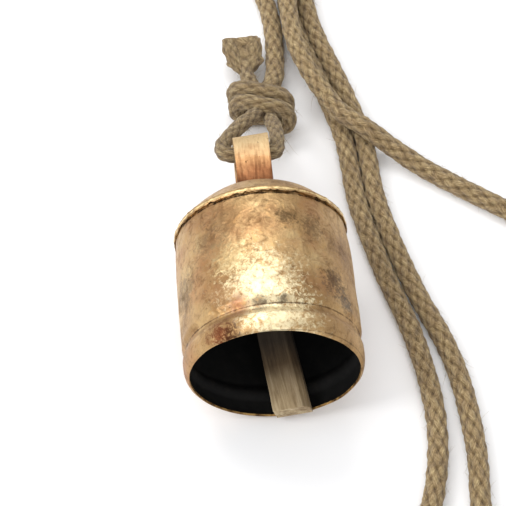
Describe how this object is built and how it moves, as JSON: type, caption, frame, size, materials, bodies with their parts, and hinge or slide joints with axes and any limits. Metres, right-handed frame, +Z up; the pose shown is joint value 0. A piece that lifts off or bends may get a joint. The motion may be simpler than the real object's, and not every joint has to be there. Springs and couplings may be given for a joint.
{
  "type": "hanging bell",
  "caption": "Sheet brass bell with a domed cap, strap handle, wooden clapper on a wire link and a knotted jute rope, lying on its side.",
  "frame": {"origin": "centre of the bell's own box, rope left out, on the surface that it lies on", "axes": "+Y along the bell's axis from the mouth to the crown, +Z up, +X across"},
  "size_m": [0.2244, 0.5329, 0.0954],
  "materials": {
    "aged_brass": "mottled, pitted brass coat on sheet iron",
    "strap_copper": "rubbed copper-brown strip",
    "iron_wire": "blackened",
    "rough_wood": "rough sawn, weathered",
    "jute": "braided natural fibre"
  },
  "bodies": {
    "rope": {"rope_hitch": "jute", "rope_knot": "jute", "rope_tail": "jute", "rope": "jute", "rope_end_knot": "jute"},
    "bell": {"bell_wall": "aged_brass", "crown_cap": "aged_brass", "strap_handle": "strap_copper", "clapper_staple": "iron_wire"},
    "link": {"clapper_link": "iron_wire"},
    "clapper": {"clapper": "rough_wood"}
  },
  "joints": [
    {"name": "bell_swing", "type": "hinge", "parent": "rope", "child": "bell", "pos_m": [0, 0.06925, 0.0477], "axis": [-1, 0, 0], "range_deg": [0, 110]},
    {"name": "link_turn", "type": "hinge", "parent": "bell", "child": "link", "pos_m": [0, 0.0285, 0.0477], "axis": [0, 1, 0], "range_deg": [-20, 20]},
    {"name": "clapper_swing", "type": "hinge", "parent": "link", "child": "clapper", "pos_m": [-0.00461, 0.01125, 0.03934], "axis": [-0.9703, 0, -0.2419], "range_deg": [0, 45]}
  ]
}
